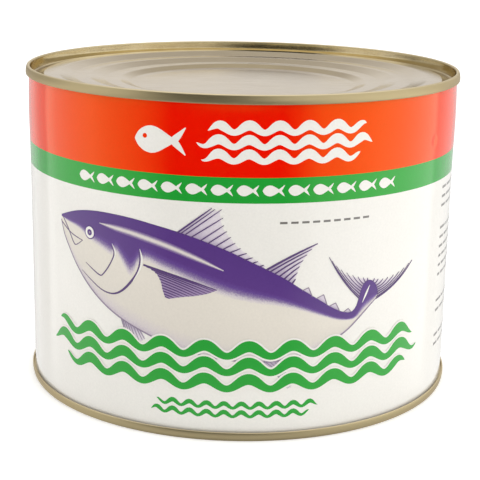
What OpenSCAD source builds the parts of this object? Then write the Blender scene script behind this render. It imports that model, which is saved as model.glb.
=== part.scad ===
// Food-service fish can, shut: a printed three-piece body with a stepped end
// double-seamed on at the top and at the bottom.
// Millimetres, +Z up, origin at the centre of the foot of the bottom seam.

/* [Can] */
// Inside diameter of the body
inner_d = 153.4; // [120:0.1:200]
// Overall height over both seams
can_h = 113.8; // [60:0.1:250]
// Thickness of the body plate
wall_t = 0.25; // [0.18:0.01:0.4]

/* [Double seam] */
// Height of each seam
seam_h = 3.1; // [2.6:0.05:4]
// How far each seam stands out from the body wall
seam_stand = 1; // [0.6:0.05:1.4]
// Width of the flat along the seam's crown
crown_flat = 0.33; // [0.2:0.01:0.6]
// Radius of the seam's folded lower edge
seam_fold = 0.35; // [0.2:0.05:0.5]

/* [End plate] */
// Thickness of the end plate
end_t = 0.28; // [0.2:0.01:0.35]
// Depth of the groove inside the seam, below the seam's top
groove_depth = 4.4; // [4:0.1:6]
// Width of the groove's floor
groove_w = 3.4; // [3:0.1:6]
// Depth of the panel's outer flat, below the seam's top
panel_depth = 3; // [2:0.1:3.4]
// Radius of the bends on each side of the groove
groove_bend = 0.8; // [0.5:0.05:0.9]

/* [Panel steps] */
// Number of steps down to the middle of the panel
step_n = 3; // [1:1:3]
// Width of the flat in front of each step
step_flat = 5; // [3:0.5:6]
// Width of the slope of each step
step_run = 6; // [4:0.5:7]
// Width of the last slope, round the middle disc
last_run = 4; // [3:0.5:6]
// Drop of each step
step_drop = 1.25; // [0.5:0.05:1.5]
// Radius of the bends at the top and the foot of a step
step_bend = 5; // [2:0.5:5]

/* [Hidden] */
$fn = 96;

// Greatest turn of one facet of a bend, in degrees
facet_turn = 18;

// Radii of the body wall, the chuck wall and the seam
wall_in = inner_d / 2;
wall_out = wall_in + wall_t;
chuck_r = wall_in - end_t;
seam_out = wall_out + seam_stand;

// Radius of the seam's rolled upper edges, which meet the flat of the crown
seam_roll = (seam_out - chuck_r - crown_flat) / 2;

// Radii of the groove's inner foot and, up a slope of 45 degrees, of the panel's edge
groove_in = chuck_r - groove_w;
panel_r = groove_in - (groove_depth - panel_depth);

// Corners of the groove from the chuck wall inwards, as [radius, height, bend radius],
// with heights measured from the seam's top
groove_corners = [
    [chuck_r, -groove_depth, groove_bend],
    [groove_in, -groove_depth, groove_bend],
    [panel_r, -panel_depth, groove_bend]
];

// Width of the slope of step i
function run_of(i) = i == step_n - 1 ? last_run : step_run;

// Radius at which step i starts to go down
function step_r(i) = panel_r - step_flat * (i + 1) - step_run * i;

// Top and foot of each step in turn
step_corners = [
    for (i = [0 : step_n - 1], foot = [0, 1])
        [step_r(i) - foot * run_of(i), -panel_depth - step_drop * (i + foot), step_bend]
];

face_corners = concat([[chuck_r, -seam_h, 0]], groove_corners, step_corners,
                      [[0, -panel_depth - step_drop * step_n, 0]]);

// Flat point of a corner, and the direction from one corner to the next
function flat(c) = [c[0], c[1]];
function heading(a, b) = atan2(b[1] - a[1], b[0] - a[0]);

// Signed turn between two headings, from -180 to 180 degrees
function turn(a, b) = let (d = b - a) d > 180 ? d - 360 : d < -180 ? d + 360 : d;

// Points of a corner rounded by its bend, shifted by t square to the path on its right side
function bend_points(before, corner, after, t) =
    let (
        h0 = heading(before, corner),
        swing = turn(h0, heading(corner, after)),
        side = sign(swing),
        cut = corner[2] * tan(abs(swing) / 2),
        start = flat(corner) - cut * [cos(h0), sin(h0)],
        centre = start + side * corner[2] * [-sin(h0), cos(h0)],
        n = max(1, ceil(abs(swing) / facet_turn))
    )
    [
        for (k = [0 : n])
            let (h = h0 + swing * k / n)
                centre + (side * corner[2] + t) * [sin(h), -cos(h)]
    ];

// Points of the end's outer face, or of a face t behind it, from the chuck wall to the axis
function end_face(t) =
    let (last = len(face_corners) - 1)
    concat(
        [[chuck_r + t, -seam_h]],
        [
            for (i = [1 : last - 1])
                each bend_points(face_corners[i - 1], face_corners[i], face_corners[i + 1], -t)
        ],
        [[0, face_corners[last][1] - t]]
    );

// Points of a quarter turn of radius r about a centre, from angle a0 to a1
function quarter(centre, r, a0, a1) =
    let (n = ceil(abs(a1 - a0) / facet_turn))
    [for (k = [0 : n]) let (a = a0 + (a1 - a0) * k / n) centre + r * [cos(a), sin(a)]];

// Section of the seam's outside, from the body wall round to the chuck wall
seam_points = concat(
    [[wall_in, -seam_h]],
    quarter([seam_out - seam_fold, -seam_h + seam_fold], seam_fold, -90, 0),
    quarter([seam_out - seam_roll, -seam_roll], seam_roll, 0, 90),
    quarter([chuck_r + seam_roll, -seam_roll], seam_roll, 90, 180)
);

// The end as pressed and seamed, outer face up, with the seam's top at height 0
module seamed_end() {
    back = end_face(end_t);
    rotate_extrude()
        polygon(concat(
            seam_points,
            end_face(0),
            [for (i = [len(back) - 1 : -1 : 1]) back[i]]
        ));
}

// The end at the top, with its seam
module top_end() {
    color("tan")
        translate([0, 0, can_h])
            seamed_end();
}

// The end at the bottom, the same pressing turned over, on whose seam the can stands
module bottom_end() {
    color("tan")
        mirror([0, 0, 1])
            seamed_end();
}

// The printed body, full up to the inner faces of both ends
module can_body() {
    upper = end_face(end_t);
    color("firebrick")
        rotate_extrude()
            polygon(concat(
                [[wall_out, seam_h], [wall_out, can_h - seam_h]],
                [for (p = upper) [p[0], can_h + p[1]]],
                [for (i = [len(upper) - 1 : -1 : 0]) [upper[i][0], -upper[i][1]]]
            ));
}

can_body();
top_end();
bottom_end();
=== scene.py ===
import math

import bpy
import numpy as np
from mathutils import Matrix, Vector, noise


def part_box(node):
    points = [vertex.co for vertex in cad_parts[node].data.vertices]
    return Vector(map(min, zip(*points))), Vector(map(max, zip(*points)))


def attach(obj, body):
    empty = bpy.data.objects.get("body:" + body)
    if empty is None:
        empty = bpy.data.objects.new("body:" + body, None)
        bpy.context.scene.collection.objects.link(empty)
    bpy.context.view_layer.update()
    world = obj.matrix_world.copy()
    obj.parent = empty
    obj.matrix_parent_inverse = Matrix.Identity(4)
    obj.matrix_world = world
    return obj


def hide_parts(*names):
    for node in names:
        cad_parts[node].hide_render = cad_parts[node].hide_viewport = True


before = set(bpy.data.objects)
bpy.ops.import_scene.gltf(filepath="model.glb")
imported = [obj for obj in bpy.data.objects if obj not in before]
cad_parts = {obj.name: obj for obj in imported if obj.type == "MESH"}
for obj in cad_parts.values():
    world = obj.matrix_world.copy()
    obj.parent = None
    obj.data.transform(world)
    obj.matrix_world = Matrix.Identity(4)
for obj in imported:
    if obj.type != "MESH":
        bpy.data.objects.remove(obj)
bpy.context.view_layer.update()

# A shut food-service tuna can: a printed steel body with a lacquered steel end seamed on at the
# top and at the bottom. Lengths are in metres. Places on the label are (arc, height) pairs in
# millimetres: arc runs round the wall from the middle of the front, to the right as it is seen.

MM = 0.001

# ---------------------------------------------------------------- sizes from the frame

body_low, body_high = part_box("can_body")
end_low, end_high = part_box("top_end")

wall_r = body_high.x
seam_r = end_high.x
can_height = end_high.z
seam_height = body_low.z

# ---------------------------------------------------------------- sizes of the pressing

plate = 0.28 * MM
wall_plate = 0.25 * MM
wall_in = wall_r - wall_plate
chuck_r = wall_in - plate
crown_flat = 0.33 * MM
crown_bend = (seam_r - chuck_r - crown_flat) / 2
fold_bend = 0.28 * MM
crevice = 1.0 * MM

# Lean of the seam's rounded outside at its crown and at its fold, in degrees
seam_lean = 19.0
fold_lean = 5.0

groove_depth = 4.4 * MM
groove_width = 3.4 * MM
groove_bend = 0.8 * MM
panel_depth = 3.0 * MM
panel_r = chuck_r - groove_width - (groove_depth - panel_depth)

step_flat = 5.0 * MM
step_runs = (6.0 * MM, 6.0 * MM, 4.0 * MM)
step_drop = 1.25 * MM
step_bend = 5.0 * MM

# How far the sprung plate of the panel rises and falls, and over what distances
wobble_depth = 0.05 * MM
wobble_size = 26 * MM
wobble_hold = 8 * MM

# Fineness of the revolved ends
middle_rings = 8
arc_steps = 8
bend_turn = math.radians(6)
turns_round = 360
panel_fold = 50

# ---------------------------------------------------------------- sizes of the printed wall

# Heights of the feet of the red and green bands, in millimetres
red_foot = 87.9
green_foot = 79.7

# How far the rolled plate is off round, as (waves round the can, depth, phase)
plate_waves = (
    (5, 0.03 * MM, 0.4), (11, 0.0132 * MM, 2.1), (19, 0.006 * MM, 4.4), (31, 0.003 * MM, 1.0))
wall_slack = 0.05 * MM

# The swell under the upper seam, the grip of the seams, and a faint crease round the wall
swell_height = 98 * MM
swell_reach = 10 * MM
swell_depth = 0.22 * MM
grip_reach = 2.2 * MM
grip_depth = 0.16 * MM
crease_height = 90.2 * MM
crease_reach = 1.3 * MM
crease_depth = 0.035 * MM

# One small ding
ding_angle = math.radians(56.7)
ding_height = 94.3 * MM
ding_size = 1.3 * MM
ding_depth = 0.22 * MM

# Fineness of the wall, and how far its edges run on inside the seams
wall_columns = 480
ring_gap = 0.85 * MM
wall_tuck = crevice + 0.3 * MM
inner_gap = 0.1 * MM
end_clearance = 0.5 * MM
wall_fold = 35

# The unprinted stripe at the back, the weld in it, and how far both run on inside the seams, in
# millimetres
stripe_width = 6.0
weld_width = 1.2
stripe_tuck = 0.2


# ---------------------------------------------------------------- small helpers

def paint(code):
    """An sRGB hex colour as linear RGBA."""
    parts = [int(code[i:i + 2], 16) / 255 for i in (1, 3, 5)]
    linear = [c / 12.92 if c <= 0.04045 else ((c + 0.055) / 1.055) ** 2.4 for c in parts]
    return (*linear, 1.0)


def add(tree, kind, settings=None, inputs=None):
    """Adds a node with its settings; an input is a value or the output that feeds it."""
    made = tree.nodes.new(kind)
    for name, value in (settings or {}).items():
        setattr(made, name, value)
    for name, value in (inputs or {}).items():
        if isinstance(value, bpy.types.NodeSocket):
            tree.links.new(value, made.inputs[name])
        else:
            made.inputs[name].default_value = value
    return made


def set_ramp(ramp, stops):
    """Gives a colour ramp its stops, as (position, linear colour) pairs."""
    while len(ramp.elements) > 1:
        ramp.elements.remove(ramp.elements[-1])
    ramp.elements[0].position, ramp.elements[0].color = stops[0]
    for position, colour in stops[1:]:
        ramp.elements.new(position).color = colour


def new_material(name):
    """A node material and its tree, holding a surface shader joined to the output."""
    material = bpy.data.materials.new(name)
    material.use_nodes = True
    tree = material.node_tree
    return material, tree, tree.nodes["Principled BSDF"]


def smooth_object(name, vertices, faces, materials):
    """A smooth-shaded mesh object that rides on the can."""
    mesh = bpy.data.meshes.new(name)
    mesh.from_pydata(vertices, [], faces)
    for material in materials:
        mesh.materials.append(material)
    mesh.shade_smooth()
    made = bpy.data.objects.new(name, mesh)
    bpy.context.scene.collection.objects.link(made)
    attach(made, "root")
    return made


def mark_sharp_edges(made, degrees):
    """Keeps folds sharper than this crisp under smooth shading."""
    made.data.set_sharp_from_angle(angle=math.radians(degrees))


def smoothstep(x):
    """Eases from 0 to 1 as x goes from 0 to 1."""
    x = min(max(x, 0.0), 1.0)
    return x * x * (3 - 2 * x)


def bell(distance, reach):
    """A smooth bump, 1 high in its middle and nearly gone at twice its reach."""
    return math.exp(-(distance / reach) ** 2)


# ---------------------------------------------------------------- materials

noise_low = 0.3
noise_high = 0.7

# Gloss of the varnish over the plain inks, and over the picture, which shines less
plain_gleam = "#FFFFFF"
varnish_gloss = 0.75
picture_gloss = 0.4
varnish_roughness = (0.07, 0.11)

# The dots of a tint, in millimetres, drawn a little over twice as coarse as they are printed so
# that they show, and how far they break up its edge, as a share of the shape's width
dot_size = 0.4
dot_strength = 0.025


def surface_relief(tree, grain_mm, depth_mm, stretch=(1, 1, 1)):
    """Fine unevenness of a surface, whose grain size and depth are given in millimetres."""
    place = add(tree, "ShaderNodeTexCoord")
    scaled = add(tree, "ShaderNodeMapping", None, {
        "Vector": place.outputs["Object"], "Scale": stretch})
    grain = add(tree, "ShaderNodeTexNoise", None, {
        "Vector": scaled.outputs["Vector"], "Scale": 1 / (grain_mm * MM),
        "Detail": 3.0, "Roughness": 0.55})
    bump = add(tree, "ShaderNodeBump", None, {
        "Height": grain.outputs["Fac"], "Distance": depth_mm * MM, "Strength": 1.0})
    return place, grain, bump


def spread(tree, source, low, high):
    """Spreads the middle of a noise over a range of values."""
    ranged = add(tree, "ShaderNodeMapRange", None, {
        "Value": source, "From Min": noise_low, "From Max": noise_high,
        "To Min": low, "To Max": high})
    return ranged.outputs["Result"]


def noise_of(tree, place, size_mm, detail):
    """Soft noise over the object, whose patches are about this size."""
    cloud = add(tree, "ShaderNodeTexNoise", None, {
        "Vector": place.outputs["Object"], "Scale": 1 / (size_mm * MM), "Detail": detail})
    return cloud.outputs["Fac"]


def finish_as_varnished(tree, surface, ink_colour, gleam, gloss):
    """Litho ink under baked clear varnish: slightly mottled colour, and a hard, even gloss with a
    faint orange peel. A dense ink gives its gloss a gleam of its own colour, as bronzing does."""
    place, peel, bump = surface_relief(tree, grain_mm=2.2, depth_mm=0.004)
    mottle = noise_of(tree, place, 0.7, 4.0)
    cloud = noise_of(tree, place, 28, 2.0)
    both = add(tree, "ShaderNodeMath", {"operation": "MULTIPLY"}, {
        0: spread(tree, mottle, 0.97, 1.015), 1: spread(tree, cloud, 0.98, 1.01)})
    shade = add(tree, "ShaderNodeVectorMath", {"operation": "SCALE"}, {
        0: ink_colour, "Scale": both.outputs["Value"]})
    tree.links.new(shade.outputs["Vector"], surface.inputs["Base Color"])
    tree.links.new(spread(tree, peel.outputs["Fac"], *varnish_roughness), surface.inputs["Roughness"])
    tree.links.new(bump.outputs["Normal"], surface.inputs["Normal"])
    surface.inputs["Specular IOR Level"].default_value = gloss
    surface.inputs["Specular Tint"].default_value = paint(gleam)


def litho_ink(name, code, gleam=plain_gleam, gloss=varnish_gloss):
    """One flat litho ink on steel plate, printed, baked and varnished: solid colour, high gloss."""
    material, tree, surface = new_material(name)
    finish_as_varnished(tree, surface, paint(code)[:3], gleam, gloss)
    return material


def tint_ink(name, stops):
    """Litho ink printed as a fine tint from one edge of a shape to the other, as an airbrushed
    picture is: the stipple of its dots shows where it fades."""
    material, tree, surface = new_material(name)
    across = add(tree, "ShaderNodeUVMap", {"uv_map": "Print"})
    parts = add(tree, "ShaderNodeSeparateXYZ", None, {"Vector": across.outputs["UV"]})
    dots = noise_of(tree, add(tree, "ShaderNodeTexCoord"), dot_size, 2.0)
    along = add(tree, "ShaderNodeMath", {"operation": "ADD"}, {
        0: parts.outputs["Y"], 1: spread(tree, dots, -dot_strength, dot_strength)})
    tint = add(tree, "ShaderNodeValToRGB", None, {"Fac": along.outputs["Value"]})
    set_ramp(tint.color_ramp, [(position, paint(code)) for position, code in stops])
    finish_as_varnished(tree, surface, tint.outputs["Color"], plain_gleam, picture_gloss)
    return material


def finish_as_tinplate(tree, surface, colour, grain_mm, depth_mm, stretch, roughness, edge_on):
    """Rolled tinplate under baked lacquer: fine lines that run one way soften what it mirrors,
    and its gold pales where it is seen edge on."""
    place, lines, bump = surface_relief(tree, grain_mm, depth_mm, stretch)
    tree.links.new(colour, surface.inputs["Base Color"])
    tree.links.new(spread(tree, lines.outputs["Fac"], *roughness), surface.inputs["Roughness"])
    tree.links.new(bump.outputs["Normal"], surface.inputs["Normal"])
    surface.inputs["Metallic"].default_value = 1.0
    surface.inputs["Specular Tint"].default_value = paint(edge_on)


def clouded(tree, size_mm, low, high):
    """A colour that drifts between two shades over patches of this size."""
    cloud = noise_of(tree, add(tree, "ShaderNodeTexCoord"), size_mm, 3.0)
    colour = add(tree, "ShaderNodeValToRGB", None, {"Fac": cloud})
    set_ramp(colour.color_ramp, [(noise_low, paint(low)), (noise_high, paint(high))])
    return colour.outputs["Color"]


def lacquered_panel_steel():
    """The pressed panel of an end, in gold-lacquered tinplate: a satin, faintly warm metal whose
    rolling lines run straight across it."""
    material, tree, surface = new_material("lacquered_tinplate_panel")
    finish_as_tinplate(
        tree, surface, clouded(tree, 12, "#B9A780", "#C0AF88"), grain_mm=0.6, depth_mm=0.002,
        stretch=(0.06, 1, 1), roughness=(0.13, 0.19), edge_on="#F2F0F2")
    return material


def lacquered_chuck_wall_steel():
    """The wall inside the seam, ironed against the seaming chuck: the brightest, deepest gold."""
    material, tree, surface = new_material("lacquered_tinplate_chuck_wall")
    finish_as_tinplate(
        tree, surface, clouded(tree, 6, "#D6C9A2", "#DFD4B2"), grain_mm=0.35, depth_mm=0.002,
        stretch=(0.08, 0.08, 1), roughness=(0.07, 0.1), edge_on="#E6DCC6")
    return material


def seam_steel_painted_light():
    """The outside of the seam, where the seaming rolls have pressed it: a dark, brownish gold with
    fine lines running round it, and painted light and shade: faces turned up or down, as on the crown,
    are lighter."""
    material, tree, surface = new_material("rolled_tinplate_seam_painted_light")
    # Painted light and shade: the colour follows the way each face turns, lighter facing up or down,
    # darker upright
    facing = add(tree, "ShaderNodeNewGeometry")
    parts = add(tree, "ShaderNodeSeparateXYZ", None, {"Vector": facing.outputs["Normal"]})
    upright = add(tree, "ShaderNodeMath", {"operation": "ABSOLUTE"}, {0: parts.outputs["Z"]})
    colour = add(tree, "ShaderNodeValToRGB", None, {"Fac": upright.outputs["Value"]})
    set_ramp(colour.color_ramp, [(0.35, paint("#B3A47E")), (0.9, paint("#D8CAA8"))])
    finish_as_tinplate(
        tree, surface, colour.outputs["Color"], grain_mm=0.35, depth_mm=0.002,
        stretch=(0.08, 0.08, 1), roughness=(0.35, 0.42), edge_on="#F6EEE6")
    return material


def bare_weld_steel():
    """Unprinted tinplate beside the side weld, striped with clear lacquer: cool grey metal with
    short heat marks across the weld."""
    material, tree, surface = new_material("bare_tinplate_side_stripe")
    place = add(tree, "ShaderNodeTexCoord")
    heat = add(tree, "ShaderNodeTexWave", {"wave_type": "BANDS", "bands_direction": "Z"}, {
        "Vector": place.outputs["Object"], "Scale": 1 / (6 * MM), "Distortion": 1.5, "Detail": 2.0})
    colour = add(tree, "ShaderNodeValToRGB", None, {"Fac": heat.outputs["Fac"]})
    set_ramp(colour.color_ramp, [(0.0, paint("#AEABA4")), (1.0, paint("#BFBCB6"))])
    finish_as_tinplate(
        tree, surface, colour.outputs["Color"], grain_mm=0.5, depth_mm=0.003,
        stretch=(1, 1, 0.05), roughness=(0.25, 0.4), edge_on="#F0EEEA")
    return material


white_ink = litho_ink("white_litho_ink", "#EAE7E0")
red_ink = litho_ink("red_litho_ink", "#EC0200", "#FFF350", 1.0)
green_ink = litho_ink("green_litho_ink", "#209B34", "#D0FFC0")
grey_ink = litho_ink("grey_litho_ink", "#77746F")
dusk_ink = litho_ink("dusk_purple_litho_ink", "#8D7F93")
purple_ink = litho_ink("purple_litho_ink", "#56367D", gloss=picture_gloss)
line_ink = litho_ink("dark_purple_litho_ink", "#5C4674", gloss=picture_gloss)
pectoral_ink = litho_ink("pale_purple_litho_ink", "#9D89AC", gloss=picture_gloss)

# Tints run from the belly to the back, and across a stroke or a fin
belly_ink = tint_ink("tuna_belly_tint_ink", (
    (0.0, "#BFB3BF"), (0.05, "#D0C7C7"), (0.15, "#DAD3C8"), (0.5, "#DFD8CC"), (1.0, "#DED7CD")))
back_ink = tint_ink("tuna_back_tint_ink", (
    (0.0, "#DED7CD"), (0.07, "#CBC2C7"), (0.16, "#8A789F"), (0.25, "#64478C"), (0.36, "#5A3B80"),
    (1.0, "#56387D")))
fin_ink = tint_ink("tuna_fin_tint_ink", (
    (0.0, "#A99AB2"), (0.4, "#CFC5D0"), (1.0, "#DDD5DA")))
streak_ink = tint_ink("tuna_streak_tint_ink", (
    (0.0, "#56367D"), (0.2, "#87729B"), (0.42, "#D9D1CB"), (0.58, "#D9D1CB"), (0.8, "#87729B"),
    (1.0, "#56367D")))

panel_steel = lacquered_panel_steel()
chuck_steel = lacquered_chuck_wall_steel()
seam_steel = seam_steel_painted_light()
weld_steel = bare_weld_steel()


# ---------------------------------------------------------------- the printed wall

def wall_radius(angle, height):
    """Radius of the wall: rolled thin plate is never quite round, swells a little under the
    upper seam, is drawn in where the seams grip it, and has picked up one small ding."""
    waves = sum(depth * math.cos(count * angle + phase) for count, depth, phase in plate_waves)
    swell = swell_depth * bell(height - swell_height, swell_reach)
    from_seam = max(min(height - seam_height, can_height - seam_height - height), 0.0)
    uneven = 0.6 + 0.4 * math.cos(9 * angle + 0.7) * math.cos(4 * angle)
    grip = grip_depth * uneven * math.exp(-from_seam / grip_reach)
    fade = (1 + math.cos(3 * angle + 2)) / 2
    crease = crease_depth * fade * bell(height - crease_height, crease_reach)
    from_ding = math.hypot((angle - ding_angle) * wall_r, height - ding_height)
    ding = ding_depth * bell(from_ding, ding_size)
    return wall_r - wall_slack + waves + swell + crease - grip - ding


def wall_point(arc, height, lift):
    """Point this lift off the wall, at a place on the label in millimetres."""
    angle = arc * MM / wall_r
    r = wall_radius(angle, height * MM) + lift
    return Vector((r * math.sin(angle), -r * math.cos(angle), height * MM))


def build_wall():
    """The printed body: fine rings up the wall, cut at the edges of the colour bands, with its
    edges running up into both seams and flat ends inside, out of sight."""
    foot, top = seam_height - wall_tuck, can_height - seam_height + wall_tuck
    bands = ((foot, green_foot * MM, 0), (green_foot * MM, red_foot * MM, 1), (red_foot * MM, top, 2))
    heights, inks = [], []
    for low, high, ink in bands:
        rows = max(1, round((high - low) / ring_gap))
        heights += [low + (high - low) * i / rows for i in range(rows)]
        inks += [ink] * rows
    heights.append(top)

    angles = [2 * math.pi * i / wall_columns for i in range(wall_columns)]
    low_end = end_high.z - end_low.z + end_clearance
    high_end = can_height - low_end
    rings = [[(wall_in - inner_gap, z)] * wall_columns for z in (low_end, foot)]
    rings += [[(wall_radius(a, h), h) for a in angles] for h in heights]
    rings += [[(wall_in - inner_gap, z)] * wall_columns for z in (top, high_end)]
    inks = [0, 0] + inks + [2, 2]

    vertices = [(r * math.sin(a), -r * math.cos(a), z)
                for ring in rings for a, (r, z) in zip(angles, ring)]
    faces, face_inks = [], []
    for row, ink in enumerate(inks):
        low, high = row * wall_columns, (row + 1) * wall_columns
        for i in range(wall_columns):
            j = (i + 1) % wall_columns
            faces.append((low + i, low + j, high + j, high + i))
            face_inks.append(ink)
    for z, row, upward in ((low_end, 0, False), (high_end, len(rings) - 1, True)):
        hub = len(vertices)
        vertices.append((0.0, 0.0, z))
        for i in range(wall_columns):
            j = (i + 1) % wall_columns
            spoke = (row * wall_columns + i, row * wall_columns + j, hub)
            faces.append(spoke if upward else spoke[::-1])
            face_inks.append(0)
    wall = smooth_object("printed_wall", vertices, faces, (white_ink, green_ink, red_ink))
    wall.data.polygons.foreach_set("material_index", face_inks)
    mark_sharp_edges(wall, wall_fold)
    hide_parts("can_body")


# ---------------------------------------------------------------- the pressed ends

def bend(before, corner, after, radius):
    """Points of a corner of a section rounded to this radius, with the way square to each."""
    h0 = math.atan2(corner[1] - before[1], corner[0] - before[0])
    h1 = math.atan2(after[1] - corner[1], after[0] - corner[0])
    swing = (h1 - h0 + math.pi) % (2 * math.pi) - math.pi
    side = math.copysign(1.0, swing)
    cut = radius * math.tan(abs(swing) / 2)
    start = (corner[0] - cut * math.cos(h0), corner[1] - cut * math.sin(h0))
    centre = (start[0] - side * radius * math.sin(h0), start[1] + side * radius * math.cos(h0))
    count = max(2, math.ceil(abs(swing) / bend_turn))
    made = []
    for k in range(count + 1):
        h = h0 + swing * k / count
        out = (math.sin(h), -math.cos(h))
        made.append(((centre[0] + side * radius * out[0], centre[1] + side * radius * out[1]), out))
    return made


def panel_corners():
    """Corners of the end's outer face from the chuck wall to the middle, with their bends.
    Heights are measured from the seam's top."""
    corners = [((chuck_r, -seam_height), 0.0),
               ((chuck_r, -groove_depth), groove_bend),
               ((chuck_r - groove_width, -groove_depth), groove_bend),
               ((panel_r, -panel_depth), groove_bend)]
    r, z = panel_r, -panel_depth
    for run in step_runs:
        r -= step_flat
        corners.append(((r, z), step_bend))
        r, z = r - run, z - step_drop
        corners.append(((r, z), step_bend))
    corners.append(((0.0, z), 0.0))
    return corners


def round_arc(centre, radius, first, last):
    """Points of an arc from one angle to another, in degrees."""
    angles = [math.radians(first + (last - first) * k / arc_steps) for k in range(arc_steps + 1)]
    return [(centre[0] + radius * math.cos(a), centre[1] + radius * math.sin(a)) for a in angles]


def seam_section():
    """Section of the seam from the chuck wall over the crown, down its slightly rounded outside,
    which leans in at both edges, round the fold and up into the crevice beside the wall."""
    up, down = math.radians(seam_lean), math.radians(fold_lean)
    crown_drop = crown_bend * (1 - math.sin(up))
    fold_drop = fold_bend * (1 - math.sin(down))
    face_radius = (seam_height - crown_drop - fold_drop) / (math.sin(up) + math.sin(down))
    face = (seam_r - face_radius, -crown_drop - face_radius * math.sin(up))
    crown = (face[0] + (face_radius - crown_bend) * math.cos(up), -crown_bend)
    fold = (face[0] + (face_radius - fold_bend) * math.cos(down), -seam_height + fold_bend)
    return (round_arc((chuck_r + crown_bend, -crown_bend), crown_bend, 180, 90)
            + round_arc(crown, crown_bend, 90, seam_lean)
            + round_arc(face, face_radius, seam_lean, -fold_lean)[1:-1]
            + round_arc(fold, fold_bend, -fold_lean, -180)
            + [(fold[0] - fold_bend, -seam_height + crevice), (wall_in, -seam_height + crevice)])


def end_section():
    """Section of an end as a closed sheet: over the outer face from the middle to the seam, round
    the seam, and back along the inner face. Each point has the slot of the face after it."""
    corners = panel_corners()
    bends = [bend(before, corner, after, radius)
             for (before, _), (corner, radius), (after, _) in zip(corners, corners[1:], corners[2:])]
    face = [point for turned in bends for point, _ in turned]
    back = [(point[0] - plate * out[0], point[1] - plate * out[1])
            for turned in bends for point, out in turned]
    level = corners[-1][0][1]
    middle = [(face[-1][0] * i / middle_rings, level) for i in range(middle_rings)]
    runs = ((middle + face[:0:-1], 0), (face[:1], 1), (seam_section(), 2),
            (back + [(0.0, level - plate)], 0))
    section = [point for points, _ in runs for point in points]
    slots = [slot for points, slot in runs for _ in points]
    return section, slots


def panel_wobble(x, y, r):
    """How far the pressed panel is off true at a place, as sprung plate is."""
    if r > panel_r:
        return 0.0
    hold = smoothstep((panel_r - r) / wobble_hold)
    return wobble_depth * hold * noise.noise(Vector((x, y, 0.0)) / wobble_size)


def build_end(name, node, facing):
    """One end, revolved from its section: facing is 1 for the top and -1 for the bottom. A point
    on the axis is one vertex, where the faces round it are triangles."""
    section, slots = end_section()
    vertices, faces, face_slots, rims = [], [], [], []
    for r, z in section:
        rim = []
        for i in range(1 if r == 0.0 else turns_round):
            angle = 2 * math.pi * i / turns_round
            x, y = r * math.sin(angle), -r * math.cos(angle)
            level = z + panel_wobble(x, y, r) * facing
            height = can_height + level if facing > 0 else -level
            rim.append(len(vertices))
            vertices.append((x, y, height))
        rims.append(rim)
    for inner, outer, slot in zip(rims, rims[1:], slots):
        for i in range(turns_round):
            j = (i + 1) % turns_round
            loop = (inner[i % len(inner)], outer[i % len(outer)],
                    outer[j % len(outer)], inner[j % len(inner)])
            corners = list(dict.fromkeys(loop))
            faces.append(corners if facing > 0 else corners[::-1])
            face_slots.append(slot)
    end = smooth_object(name, vertices, faces, (panel_steel, chuck_steel, seam_steel))
    end.data.polygons.foreach_set("material_index", face_slots)
    mark_sharp_edges(end, panel_fold)
    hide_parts(node)


# ---------------------------------------------------------------- printing on the wall

# Fineness of a printed shape, and its thinnest line, in millimetres
ink_step = 1.6
fewest_steps = 8
finest_line = 0.08

# How many times finer the steps are along a brush stroke, a line of water and a spot
stroke_fineness = 1.6
water_fineness = 3
spot_fineness = 12

# Thickness of one layer of ink, drawn several times too thick so that layers stay apart, and how
# far a film reaches down into the wall
film = 0.035 * MM
film_root = 0.05 * MM
film_fold = 40


def through(points, t):
    """Point at t, from 0 to 1, of a smooth curve through the points (Catmull-Rom)."""
    spans = len(points) - 1
    i = min(int(t * spans), spans - 1)
    u = t * spans - i
    p0, p1, p2, p3 = (points[min(max(k, 0), spans)] for k in (i - 1, i, i + 1, i + 2))
    return tuple(
        0.5 * (2 * b + (c - a) * u + (2 * a - 5 * b + 4 * c - d) * u ** 2
               + (3 * b - a - 3 * c + d) * u ** 3)
        for a, b, c, d in zip(p0, p1, p2, p3))


def path_length(points):
    """Length of the straight path from point to point."""
    return sum(math.dist(a, b) for a, b in zip(points, points[1:]))


def between(a, b, share):
    """The place this share of the way from one place to another."""
    return a[0] + (b[0] - a[0]) * share, a[1] + (b[1] - a[1]) * share


def field(lower, upper, reach, height):
    """A printed shape between two curves, as rows of (arc, height) places. It is stepped as
    finely as its reach along the curves and its height between them ask for."""
    along = max(fewest_steps, round(reach / ink_step))
    across = max(1, math.ceil(height / ink_step))
    rows = []
    for i in range(along + 1):
        low, high = lower(i / along), upper(i / along)
        rows.append([between(low, high, j / across) for j in range(across + 1)])
    return rows


def ribbon(centre_line, width_at, reach, widest):
    """A printed band along a line: its line and its width are given at any t from 0 to 1."""
    nudge = 0.004

    def edge(side):
        def at(t):
            here = centre_line(t)
            ahead, behind = centre_line(min(t + nudge, 1)), centre_line(max(t - nudge, 0))
            way = math.atan2(ahead[1] - behind[1], ahead[0] - behind[0])
            half = max(width_at(t), finest_line) / 2
            return here[0] - side * half * math.sin(way), here[1] + side * half * math.cos(way)
        return at

    return field(edge(-1), edge(1), reach, widest)


def stroke(points, widths):
    """A brush stroke along a smooth curve, with its width at even steps along it."""
    steps = [(width,) for width in widths]
    reach = path_length(points) * stroke_fineness
    return ribbon(lambda t: through(points, t), lambda t: through(steps, t)[0], reach, max(widths))


def spot(centre, radius):
    """A round printed spot, drawn from left to right, whose two tips are a hair short."""
    tip = 0.02

    def edge(side):
        def at(t):
            turn = math.pi * (tip + (1 - 2 * tip) * t)
            return centre[0] - radius * math.cos(turn), centre[1] + side * radius * math.sin(turn)
        return at

    return field(edge(-1), edge(1), radius * spot_fineness, radius * 2)


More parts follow.
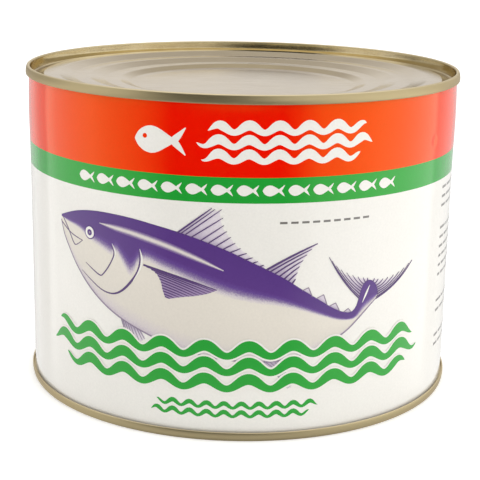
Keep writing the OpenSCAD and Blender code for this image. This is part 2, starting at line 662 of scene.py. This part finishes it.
def printed(name, shapes, ink, layer):
    """One ink pass: each of its shapes is a thin closed film on the wall, higher for each later
    layer. Its UV map runs along and across each shape."""
    vertices, faces, places = [], [], []
    lift = film * layer
    for rows in shapes:
        first = len(vertices)
        deep, wide = len(rows), len(rows[0])
        for level in (lift, -film_root):
            vertices += [wall_point(*place, level) for row in rows for place in row]
            places += [(i / (deep - 1), j / (wide - 1)) for i in range(deep) for j in range(wide)]
        under = deep * wide
        grid = [[first + i * wide + j for j in range(wide)] for i in range(deep)]
        for i in range(deep - 1):
            for j in range(wide - 1):
                quad = (grid[i][j], grid[i + 1][j], grid[i + 1][j + 1], grid[i][j + 1])
                faces.append(quad)
                faces.append(tuple(v + under for v in quad[::-1]))
        border = [grid[i][0] for i in range(deep)] + grid[-1][1:]
        border += [grid[i][-1] for i in range(deep - 2, -1, -1)] + grid[0][-2:0:-1]
        for a, b in zip(border, border[1:] + border[:1]):
            faces.append((b, a, a + under, b + under))
    made = smooth_object(name, vertices, faces, (ink,))
    mark_sharp_edges(made, film_fold)
    marks = made.data.uv_layers.new(name="Print")
    for loop in made.data.loops:
        marks.data[loop.index].uv = places[loop.vertex_index]
    return made


# ---------------------------------------------------------------- the tuna

# Outlines from snout to tail: the back, the belly, and where the dark of the back has faded out
back_line = [
    (-68.6, 68.4), (-60.8, 71.0), (-53.3, 72.4), (-45.5, 72.8), (-36.5, 72.4), (-28.0, 71.2),
    (-19.5, 69.5), (-11.5, 67.2), (-3.5, 64.2), (3.5, 60.9), (9.0, 58.2), (14.5, 55.2),
    (20.5, 51.2), (26.5, 47.3), (32.0, 43.8), (36.0, 42.2), (38.6, 42.2), (40.2, 44.0),
    (41.2, 47.0), (42.2, 50.2), (44.0, 51.9), (46.2, 51.6), (48.0, 49.8), (48.9, 47.4)
]
belly_line = [
    (-68.8, 66.6), (-67.0, 62.0), (-64.0, 57.6), (-60.0, 52.4), (-54.4, 46.9), (-48.0, 42.2),
    (-40.8, 38.3), (-32.3, 35.0), (-22.0, 31.6), (-12.0, 29.2), (-2.5, 27.9), (6.0, 27.3),
    (14.0, 27.8), (22.0, 29.5), (30.0, 32.4), (36.5, 35.8), (41.5, 39.8), (45.5, 43.2),
    (48.4, 45.4), (48.9, 46.6)
]
shade_line = [
    (-68.6, 67.6), (-63.5, 66.4), (-58.5, 65.2), (-54.0, 62.8), (-50.5, 61.4), (-47.0, 60.0),
    (-44.0, 58.8), (-42.2, 60.0), (-40.2, 57.6), (-38.2, 54.6), (-36.6, 52.8), (-35.0, 54.6),
    (-33.6, 57.4), (-31.0, 58.8), (-26.5, 57.2), (-19.5, 54.6), (-11.0, 51.4), (-3.0, 48.8),
    (5.0, 47.2), (13.0, 46.0), (20.0, 44.2), (27.0, 41.8), (33.6, 39.7), (39.4, 39.4),
    (43.8, 42.2), (47.4, 44.8), (48.9, 46.6)
]

# Width of the line under the belly, thin at the head and thinner at the tail
belly_edge_widths = [0.3] * 4 + [0.45] * 14 + [0.2] * 2

# Fineness of the fish's side, from end to end in millimetres, and across
flank_step = 0.8
flank_rows = 16
line_samples = 400

# Fineness of a fin's web, and how its rays taper, with the first ray the thickest
web_columns = 3
web_rows = 6
ray_taper = (1.0, 1.0, 1.0, 0.8, 0.4)
leading_ray = 1.5

# The eye, as (part, radius, ink) from the back to the front
eye = (-53.4, 65.0)
eye_parts = (("rim", 2.3, purple_ink), ("white", 1.95, white_ink), ("iris", 1.05, purple_ink),
             ("glint", 0.4, dusk_ink))


def level_along(line):
    """The height of a smooth line at any arc along it."""
    samples = [through(line, k / line_samples) for k in range(line_samples + 1)]
    arcs, heights = zip(*samples)
    return lambda arc: float(np.interp(arc, arcs, heights))


def flank(lower, upper):
    """The fish's side, or a part of it, between two lines that run from snout to tail."""
    low, high = level_along(lower), level_along(upper)
    snout, tail = back_line[0][0], back_line[-1][0]
    columns = round((tail - snout) / flank_step)
    rows = []
    for i in range(columns + 1):
        arc = snout + (tail - snout) * i / columns
        foot, top = (arc, low(arc)), (arc, high(arc))
        rows.append([between(foot, top, j / flank_rows) for j in range(flank_rows + 1)])
    return rows


def fin(foot, tips, rays, width=0.38, bow=0.0, reach=1.0):
    """A fin between the line of its foot and the line of its tips, with the rays in it. The rays
    bow out, most in the first one, and stick out of a web that has less reach."""
    def place(t, u):
        a, b = through(foot, t), through(tips, t)
        bulge = 4 * u * (1 - u) * bow * (1 - t) / max(math.dist(a, b), 0.01)
        arc, height = between(a, b, u)
        return arc - (b[1] - a[1]) * bulge, height + (b[0] - a[0]) * bulge

    columns = web_columns * rays
    web = [[place(i / columns, reach * j / web_rows) for j in range(web_rows + 1)]
           for i in range(columns + 1)]
    spans = len(ray_taper) - 1
    lines = []
    for i in range(rays):
        t = i / (rays - 0.5)
        root = width * (leading_ray if i == 0 else 1.0)
        ray = [place(t, k / spans) for k in range(spans + 1)]
        lines.append(stroke(ray, [root * share for share in ray_taper]))
    return web, lines


def finlet(front, peak, rear):
    """One of the small stiff flaps behind the second back fin, drawn in outline."""
    web = [[front, peak], [between(front, rear, 0.5), peak], [rear, peak]]
    return web, [stroke([front, peak], [0.2, 0.25]), stroke([peak, rear], [0.25, 0.3])]


def back_and_tail_fins():
    """Both back fins and both lobes of the tail, with strong rays."""
    first = fin(
        [(-20.2, 69.2), (-19.0, 69.0), (-17.6, 68.6), (-15.3, 68.0), (-12.2, 67.0), (-9.8, 66.2),
         (-7.2, 65.3), (-4.9, 64.4), (-2.5, 63.4), (0.0, 62.2), (2.4, 61.0), (4.9, 59.9), (7.5, 58.9)],
        [(-9.0, 77.9), (-7.9, 77.6), (-5.8, 77.5), (-5.4, 74.6), (-5.0, 72.2), (-3.9, 70.3),
         (-2.5, 68.4), (-1.0, 66.4), (0.9, 64.7), (2.9, 63.1), (4.8, 61.7), (6.6, 60.5), (8.4, 59.4)],
        rays=13, width=0.36, reach=0.93)
    second = fin(
        [(8.5, 58.2), (10.2, 57.4), (12.2, 56.4), (14.2, 55.2), (16.0, 54.2), (17.4, 53.2)],
        [(25.1, 66.2), (22.6, 63.9), (20.9, 61.7), (19.4, 59.2), (18.5, 56.6), (17.9, 54.2)],
        rays=7, width=0.42, bow=0.35)
    tail_left = fin(
        [(41.2, 46.0), (41.6, 48.4), (42.6, 50.6), (44.6, 51.6)],
        [(29.3, 61.3), (33.4, 57.0), (39.6, 53.9), (44.8, 52.6)],
        rays=9, width=0.26, bow=0.8, reach=0.85)
    tail_right = fin(
        [(48.0, 45.0), (48.6, 47.2), (48.2, 49.4), (46.2, 51.2)],
        [(65.5, 55.2), (59.0, 52.6), (51.6, 51.4), (46.6, 52.3)],
        rays=9, width=0.26, bow=-1.1, reach=0.85)
    return [first, second, tail_left, tail_right]


def pectoral_fin():
    """The long fin on the fish's side."""
    return fin(
        [(-31.7, 57.5), (-27.6, 55.6), (-25.6, 52.8), (-24.9, 50.0), (-24.0, 47.6)],
        [(-7.0, 51.3), (-10.0, 50.0), (-14.0, 49.0), (-18.6, 48.2), (-22.8, 47.2)],
        rays=12, width=0.4, bow=0.4)


def belly_fins_and_finlets():
    """The fins under the belly and the row of finlets, in thin pale lines."""
    front = fin(
        [(-40.3, 38.2), (-37.0, 36.8), (-33.0, 35.4)], [(-37.6, 31.0), (-34.4, 30.6), (-31.0, 32.6)],
        rays=8, width=0.2)
    rear = fin(
        [(5.9, 27.6), (9.5, 27.8), (13.2, 28.0)], [(16.4, 18.0), (17.6, 18.6), (17.0, 21.5)],
        rays=6, width=0.2, bow=1.0)
    flaps = (
        ((20.3, 50.9), (22.5, 51.8), (23.9, 48.6)), ((25.1, 47.9), (27.8, 49.0), (29.2, 45.3)),
        ((29.8, 44.9), (32.2, 45.8), (33.8, 42.8)), ((35.2, 42.3), (37.0, 43.3), (38.2, 42.0)))
    return [front, rear] + [finlet(*flap) for flap in flaps]


def head_lines():
    """The edge of the gill cover, the cheek, the mouth and the jaw."""
    gill = stroke(
        [(-33.5, 62.0), (-32.9, 59.0), (-34.0, 54.7), (-36.9, 50.5), (-40.3, 47.3), (-43.8, 45.9),
         (-48.1, 46.4), (-52.6, 48.6), (-57.4, 51.4)],
        [0.2, 0.5, 0.6, 0.8, 0.7, 0.5, 0.35, 0.25, 0.1])
    cheek = stroke(
        [(-44.2, 62.3), (-42.9, 59.6), (-44.8, 55.5), (-47.6, 51.9), (-49.2, 51.3), (-52.5, 52.8),
         (-55.5, 54.4)],
        [0.2, 0.4, 0.4, 0.4, 0.4, 0.3, 0.1])
    mouth = stroke(
        [(-67.6, 67.7), (-64.5, 64.1), (-62.0, 60.4), (-60.4, 59.5), (-57.0, 61.6)],
        [0.25, 0.35, 0.3, 0.3, 0.15])
    jaw = stroke([(-68.6, 66.0), (-63.1, 63.1), (-57.2, 61.6)], [0.3, 0.3, 0.2])
    return [gill, cheek, mouth, jaw]


def back_streak():
    """The pale gleam along the back."""
    return stroke(
        [(-49.0, 68.9), (-42.6, 68.3), (-34.4, 67.2), (-23.5, 64.7), (-13.2, 61.2), (-5.0, 57.8)],
        [0.3, 2.4, 3.0, 3.0, 2.2, 0.5])


def glints():
    """White lines beside the cheek and the gill, and on the root of the tail."""
    return [
        stroke([(-43.6, 62.8), (-42.3, 59.8), (-43.6, 56.6)], [0.1, 0.5, 0.1]),
        stroke([(-33.0, 62.6), (-32.2, 59.2), (-33.1, 55.4), (-35.6, 51.4)], [0.1, 0.7, 0.6, 0.1]),
        stroke([(45.2, 50.2), (43.9, 47.6), (42.4, 44.6)], [0.1, 0.7, 0.1])]


def build_fish():
    """The tuna, drawn in one purple: a pale side, a dark back that fades into it, and line work."""
    strong, side, faint = back_and_tail_fins(), pectoral_fin(), belly_fins_and_finlets()
    printed("tuna_side", [flank(belly_line, back_line)], belly_ink, 2)
    printed("tuna_back", [flank(shade_line, back_line)], back_ink, 3)
    printed("tuna_fins", [web for web, _ in strong + faint], fin_ink, 1)
    printed("tuna_side_fin", [side[0]], pectoral_ink, 4)
    printed("tuna_fin_rays", [ray for _, rays in strong + [side] for ray in rays], line_ink, 5)
    printed("tuna_faint_rays", [ray for _, rays in faint for ray in rays], dusk_ink, 4)
    printed("tuna_lines", head_lines(), line_ink, 4)
    printed("tuna_belly_edge", [stroke(belly_line, belly_edge_widths)], dusk_ink, 4)
    printed("tuna_back_streak", [back_streak()], streak_ink, 4)
    printed("tuna_glints", glints(), white_ink, 5)
    for layer, (part, radius, ink) in enumerate(eye_parts, 5):
        printed("tuna_eye_" + part, [spot(eye, radius)], ink, layer)


# ---------------------------------------------------------------- plain pack ornament

# Body of a little fish from its mouth back, as (share of its length, share of its depth)
fish_body = (
    (0.0, 0.05), (0.05, 0.42), (0.13, 0.74), (0.24, 0.95), (0.36, 1.0), (0.49, 0.84), (0.63, 0.52),
    (0.77, 0.18))

# Lines of water, as (first arc, last arc, height)
emblem_water = ((-12.5, 39.0, 94.2), (-14.0, 43.5, 98.7), (-10.5, 41.0, 103.2))
sea = ((-66.0, 64.0, 19.8), (-74.0, 70.5, 25.4), (-70.0, 67.5, 31.0))
ripples = ((-29.0, 24.0, 9.2), (-27.0, 27.0, 12.2))

# The row of fish on the green band
school_count = 14
school_left = -58.0
school_pitch = 8.1
school_height = 83.8

# Rows of the small print, as (height, length), and their dashes, which grow by none, one or two
# steps in turn, as words differ
print_left = 87.0
print_rows = (
    (76.5, 24), (73.2, 17), (70.0, 28), (62.0, 33), (58.6, 35), (55.2, 31), (51.8, 34), (48.4, 29),
    (45.0, 33), (35.4, 22), (31.8, 26), (22.4, 30), (19.0, 18))
short_dash = 2.6
dash_growth = 1.9
dash_gap = 1.3
dash_thickness = 0.9

# The single line of print over the fish's tail, and the length and thickness of its dashes
line_left = 12.5
line_level = 73.4
line_dashes = 9
line_pitch = 3.6
line_dash = (2.4, 0.7)


def water_line(first, last, level, pitch, swing, thickness, grow=0.0):
    """One long wavy brush stroke of water, fullest on its crests and pointed at both ends."""
    reach = last - first

    def centre_line(t):
        arc = first + reach * t
        return arc, level + swing * math.sin(2 * math.pi * arc / pitch)

    def width_at(t):
        taper = min(1.0, 2 * min(t, 1 - t) * reach / pitch) ** 0.6
        crest = math.sin(2 * math.pi * (first + reach * t) / pitch)
        return (thickness * (0.88 + 0.2 * crest) + 2 * grow) * taper

    return ribbon(centre_line, width_at, reach * water_fineness, thickness + 2 * grow)


def small_fish(left, middle, length, depth):
    """A plain little fish: a leaf-shaped body and a forked tail."""
    body = stroke([(left + length * along, middle) for along, _ in fish_body],
                  [depth * share for _, share in fish_body])
    root, tail = left + length * 0.72, left + length
    lobes = []
    for side in (-1, 1):
        bend_place = (root + length * 0.1, middle + side * depth * 0.1)
        lobes.append(stroke([(root, middle), bend_place, (tail, middle + side * depth * 0.5)],
                            [depth * share for share in (0.14, 0.26, 0.04)]))
    return [body] + lobes


def build_ornament():
    """Plain pictures of fish and water where a pack carries its name."""
    emblem = small_fish(-34.5, 98.6, 17.0, 8.6)
    emblem += [water_line(*line, pitch=9.4, swing=1.15, thickness=2.9) for line in emblem_water]
    printed("white_fish_and_water", emblem, white_ink, 1)
    printed("red_fish_eye", [spot((-31.0, 99.6), 0.75)], red_ink, 2)

    school = []
    for k in range(school_count):
        school += small_fish(school_left + school_pitch * k, school_height, 6.9, 3.5)
    printed("white_fish_row", school, white_ink, 1)

    edging = [water_line(*line, pitch=14.3, swing=1.7, thickness=3.5, grow=0.6) for line in sea]
    printed("green_water_edging", edging, white_ink, 6)
    waves = [water_line(*line, pitch=14.3, swing=1.7, thickness=3.5) for line in sea]
    printed("green_water", waves, green_ink, 7)
    small_waves = [water_line(*line, pitch=5.7, swing=0.8, thickness=1.5) for line in ripples]
    printed("green_ripples", small_waves, green_ink, 1)


def dash(left, level, length, thickness):
    """One plain dash."""
    return stroke([(left, level), (left + length, level)], [thickness, thickness])


def build_small_print():
    """Where a pack carries its small print: rows of plain grey dashes."""
    dashes = [dash(line_left + line_pitch * k, line_level, *line_dash) for k in range(line_dashes)]
    for level, reach in print_rows:
        left, k = print_left, 0
        while left < print_left + reach:
            length = short_dash + dash_growth * ((k + int(level)) % 3)
            dashes.append(dash(left, level, length, dash_thickness))
            left += length + dash_gap
            k += 1
    printed("grey_dash_rows", dashes, grey_ink, 1)


# ---------------------------------------------------------------- the side weld

def build_side_weld():
    """The body is rolled up and welded at the back, where a stripe is left unprinted."""
    back = math.pi * wall_r / MM
    foot = seam_height / MM - stripe_tuck
    top = (can_height - seam_height) / MM + stripe_tuck
    upright = [(back, foot), (back, (foot + top) / 2), (back, top)]
    printed("side_stripe", [stroke(upright, [stripe_width] * 3)], weld_steel, 1)
    printed("side_weld", [stroke(upright, [weld_width] * 3)], weld_steel, 4)


# ---------------------------------------------------------------- studio

def build_floor():
    """A wide, plain, nearly white floor, faintly lit from below as a light table is. What the can
    mirrors below it is the tent's own dimmer table instead."""
    reach = 6.0
    corners = [(-reach, -reach, 0), (reach, -reach, 0), (reach, reach, 0), (-reach, reach, 0)]
    mesh = bpy.data.meshes.new("floor")
    mesh.from_pydata(corners, [], [(0, 1, 2, 3)])
    material, tree, surface = new_material("opal_light_table")
    surface.inputs["Base Color"].default_value = paint("#FEFEFD")
    surface.inputs["Roughness"].default_value = 0.9
    surface.inputs["Specular IOR Level"].default_value = 0.0
    surface.inputs["Emission Color"].default_value = paint("#FFFFFF")
    surface.inputs["Emission Strength"].default_value = 0.3
    mesh.materials.append(material)
    floor = bpy.data.objects.new("floor", mesh)
    bpy.context.scene.collection.objects.link(floor)
    floor.visible_glossy = False


# Brightness of the white tent round the can, as (degrees round from the front, brightness), from
# the far table upwards. The gap in its front is where it is looked into.
tent_table = (
    (-180, 0.5), (-165, 0.7), (-145, 0.95), (-135, 0.75), (-127, 0.75), (-124, 1.35),
    (-119, 1.35), (-115, 1.2), (-84, 1.25), (-65, 0.85), (-52, 0.55), (-44, 0.28), (-37, 0.03),
    (22, 0.03), (29, 0.25), (36, 0.65), (42, 0.95), (52, 1.1), (62, 1.3), (78, 1.55),
    (112, 1.6), (121, 1.6), (125, 0.95), (140, 0.95), (160, 0.8), (180, 0.5))
tent_walls = (
    (-180, 0.5), (-168, 0.45), (-158, 0.3), (-145, 0.75), (-112, 0.5), (-100, 1.2), (-60, 1.3),
    (-48, 0.8), (-38, 0.4), (-16, 0.5), (-4, 0.5), (6, 0.8), (18, 1.3), (60, 1.5), (96, 1.5),
    (110, 1.0), (148, 1.1), (158, 0.3), (168, 0.45), (180, 0.5))
tent_shoulders = (
    (-180, 1.05), (-168, 1.0), (-157, 0.6), (-148, 0.8), (-112, 0.65), (-100, 1.15),
    (-60, 1.25), (-50, 0.85), (-42, 0.2), (-34, 0.08), (-4, 0.1), (6, 0.6), (18, 1.25),
    (60, 1.45), (100, 1.4), (120, 1.2), (148, 1.2), (157, 0.45), (168, 1.0), (180, 1.05))
tent_eaves = (
    (-180, 0.7), (-130, 0.7), (-100, 1.15), (-60, 1.0), (-48, 0.12), (-40, 0.02), (2, 0.02),
    (22, 1.0), (100, 1.35), (130, 0.9), (150, 0.75), (180, 0.7))
tent_roof = 1.3
table_glow = 0.95
table_shade = 0.35
tent_full = 2.0

# Elevations between which each level of the tent takes over from the one below it, in degrees
tent_levels = (
    (-65, -40, table_glow), (-24, -17, tent_table), (-6, 0, tent_walls), (3, 6, tent_shoulders),
    (12, 24, tent_eaves), (38, 55, tent_roof))


def grey(level):
    """A neutral brightness as a share of the tent's fullest."""
    return (*[level / tent_full] * 3, 1.0)


def build_tent():
    """Soft light from all round: white walls with a dark gap at the front, dimmer eaves and a
    bright roof. Below them lies the table, which only mirrored light sees, darker under the can."""
    world = bpy.data.worlds.new("studio_tent")
    bpy.context.scene.world = world
    world.use_nodes = True
    tree = world.node_tree
    sky = tree.nodes["Background"]
    way = add(tree, "ShaderNodeTexCoord")
    parts = add(tree, "ShaderNodeSeparateXYZ", None, {"Vector": way.outputs["Generated"]})
    front = add(tree, "ShaderNodeMath", {"operation": "MULTIPLY"}, {0: parts.outputs["Y"], 1: -1.0})
    angle = add(tree, "ShaderNodeMath", {"operation": "ARCTAN2"}, {
        0: parts.outputs["X"], 1: front.outputs["Value"]})
    turn = add(tree, "ShaderNodeMapRange", None, {
        "Value": angle.outputs["Value"], "From Min": -math.pi, "From Max": math.pi})

    def light_of(level):
        """A level's light: a number is the same all round, and pairs change with the way."""
        if isinstance(level, float):
            return grey(level)
        band = add(tree, "ShaderNodeValToRGB", None, {"Fac": turn.outputs["Result"]})
        set_ramp(band.color_ramp, [((degrees + 180) / 360, grey(share)) for degrees, share in level])
        return band.outputs["Color"]

    light = grey(table_shade)
    for low, high, level in tent_levels:
        rise = add(tree, "ShaderNodeMapRange", {"interpolation_type": "SMOOTHSTEP"}, {
            "Value": parts.outputs["Z"], "From Min": math.sin(math.radians(low)),
            "From Max": math.sin(math.radians(high))})
        light = add(tree, "ShaderNodeMix", {"data_type": "RGBA"}, {
            "Factor": rise.outputs["Result"], 6: light, 7: light_of(level)}).outputs[2]
    tree.links.new(light, sky.inputs["Color"])
    sky.inputs["Strength"].default_value = tent_full


def build_camera():
    """Seen from a little above, at arm's length, with a long lens held almost level."""
    distance = 461 * MM
    height = 170 * MM
    look_down = math.radians(14.874)
    lean = math.radians(1.037)
    data = bpy.data.cameras.new("camera")
    data.lens = 95.08
    data.sensor_width = 36.0
    data.clip_start = 0.01
    camera = bpy.data.objects.new("camera", data)
    bpy.context.scene.collection.objects.link(camera)
    aim = Matrix.Rotation(math.pi / 2 - look_down, 4, "X") @ Matrix.Rotation(lean, 4, "Z")
    camera.matrix_world = Matrix.Translation((0.0, -distance, height)) @ aim
    bpy.context.scene.camera = camera


build_camera()
build_tent()
build_floor()
build_wall()
build_end("top_end_plate", "top_end", 1)
build_end("bottom_end_plate", "bottom_end", -1)
build_side_weld()
build_fish()
build_ornament()
build_small_print()

bpy.context.scene.view_settings.view_transform = "Standard"
